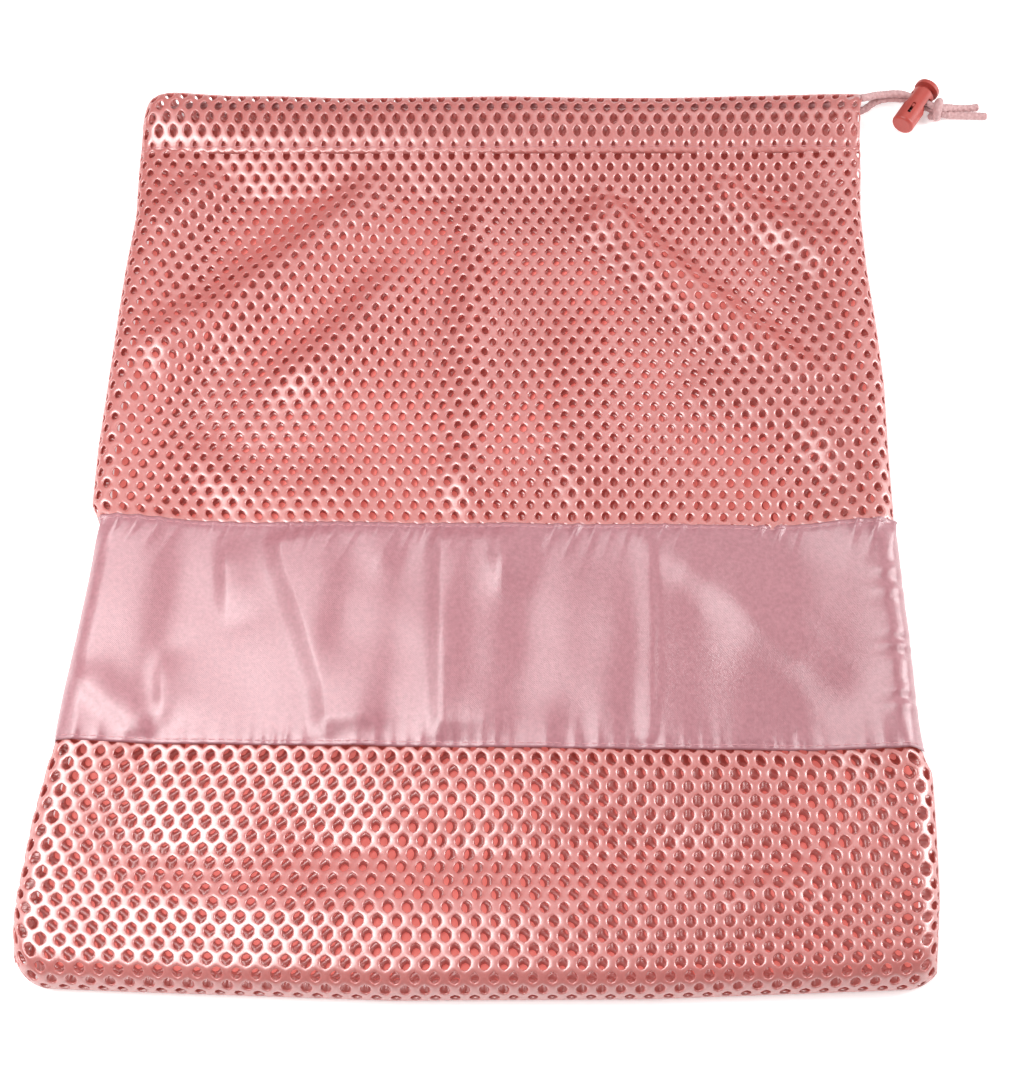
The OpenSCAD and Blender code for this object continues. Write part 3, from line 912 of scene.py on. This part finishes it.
# the drawcord inside the casings
HELD_END = HALF_W - 2
HELD_Y, HELD_TURN_X, HELD_TURN_R = 192.4, -154.5, 3.8
FRONT_Z, BACK_Z = 10.4, BACK_CORD[0][2]
held = [(HELD_END, MOUTH_Y - 5, FRONT_CORD[0][2])] + [(x, HELD_Y, FRONT_Z) for x in np.linspace(148, -140, 21)]
held += [(HELD_TURN_X - HELD_TURN_R * math.sin(q), HELD_Y - 4, (FRONT_Z + BACK_Z) / 2 + HELD_TURN_R * math.cos(q))
         for q in np.linspace(0, math.pi, 9)]
held += [(x, HELD_Y, BACK_Z) for x in np.linspace(-140, 140, 21)] + [(HELD_END, MOUTH_Y - 5, BACK_Z)]


def drawcord_tube():
    """The part of the cord that the casings hold."""
    line, length = spline(held, 0.6)
    along = unit(np.gradient(line, axis=0))
    side = np.tile(np.array([0.0, 1.0, 0.0]), (len(line), 1))
    angle = np.linspace(0, math.tau, 12, endpoint=False)[None]
    place = np.linspace(0, length, len(line))[:, None]
    r = CORD_D / 2 * (0.93 + 0.07 * np.sin(4 * angle + place * math.tau / BRAID_LAY))
    points, quads = rings_along(line, side, np.cross(side, along), r, angle)
    piece = mesh_piece("drawcord_held", points, [quads], CORD, "bag")
    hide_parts("drawcord")



drawcord_tube()

# ---------------------------------------------------------------- the casings' section lengths, worked out and not kept

for piece, section in ((front_casing, FRONT_SECTION), (back_casing, BACK_SECTION)):
    section_line(section)[1] * MM

# ---------------------------------------------------------------- floor, light and film


FLOOR_R = 6.0                       # half width of the floor, in metres
PAPER = (0.94, 0.94, 0.94)
PAPER_GLOW = 0.45                   # the white paper is lit a little from below
# The sheet under the bag is painted light: its dark pink is painted shade and its glow is painted bounce light
# from the cloth.
PAINTED_SHADE_UNDER_BAG = (0.80, 0.24, 0.21)      # the pink light that the cloth throws on the paper beneath it
PAINTED_BOUNCE_GLOW = 0.40


def paper(name, points, faces, colour, glow):
    """A flat sheet of staging that glows a little. Under the bag the glow and the pink colour are painted bounce
    light and painted shade.
    """
    mesh = bpy.data.meshes.new(name)
    mesh.from_pydata(points, [], faces)
    sheet = bpy.data.objects.new(name, mesh)
    bpy.context.scene.collection.objects.link(sheet)
    material, tree, shader = new_material(name + "_paper", colour, 0.9)
    shader.inputs["Specular IOR Level"].default_value = 0.0
    shader.inputs["Emission Color"].default_value = (*colour, 1)
    shader.inputs["Emission Strength"].default_value = glow
    mesh.materials.append(material)


def make_floor():
    r = FLOOR_R
    paper("floor", [(-r, -r, 0), (r, -r, 0), (r, r, 0), (-r, r, 0)], [(0, 1, 2, 3)], PAPER, PAPER_GLOW)
    # the sheet under the bag: painted shade and painted pink bounce light
    across, up = np.meshgrid(np.linspace(-1, 1, 41), np.linspace(0, 1, 41))
    y = BOTTOM_Y + 4 + (MOUTH_Y - BOTTOM_Y - 9) * up
    x = across * (side_width(across, y) - 5)
    y = y + bottom_bow(x) * (1 - up)
    points = [(px * MM, py * MM, 0.00004) for px, py in zip(x.ravel(), y.ravel())]
    faces = [(i, i + 1, i + 42, i + 41) for j in range(40) for i in range(41 * j, 41 * j + 40)]
    paper("painted_shade_under_bag", points, faces, PAINTED_SHADE_UNDER_BAG, PAINTED_BOUNCE_GLOW)


def area_light(name, place, aim, size, power):
    data = bpy.data.lights.new(name, "AREA")
    data.shape = "RECTANGLE"
    data.size, data.size_y = size
    data.energy = power
    lamp = bpy.data.objects.new(name, data)
    bpy.context.scene.collection.objects.link(lamp)
    lamp.location = place
    lamp.rotation_mode = "QUATERNION"
    lamp.rotation_quaternion = (Vector(aim) - Vector(place)).to_track_quat("-Z", "Y")


make_floor()
area_light("key", (-0.34, -0.08, 0.62), (-0.06, -0.08, 0), (0.46, 0.46), 5.2)
area_light("left", (-0.80, 0.0, 0.30), (-0.1, 0, 0), (0.2, 0.6), 0.9)
area_light("right", (0.80, 0.12, 0.42), (0.1, 0, 0), (0.25, 0.7), 5.8)
area_light("top", (0.30, 0.70, 0.80), (0.1, 0.2, 0), (0.8, 0.4), 1.6)
world = bpy.data.worlds.new("studio")
bpy.context.scene.world = world
world.use_nodes = True
world.node_tree.nodes["Background"].inputs["Color"].default_value = (1, 1, 1, 1)
world.node_tree.nodes["Background"].inputs["Strength"].default_value = 0.22
bpy.context.scene.view_settings.view_transform = "Standard"
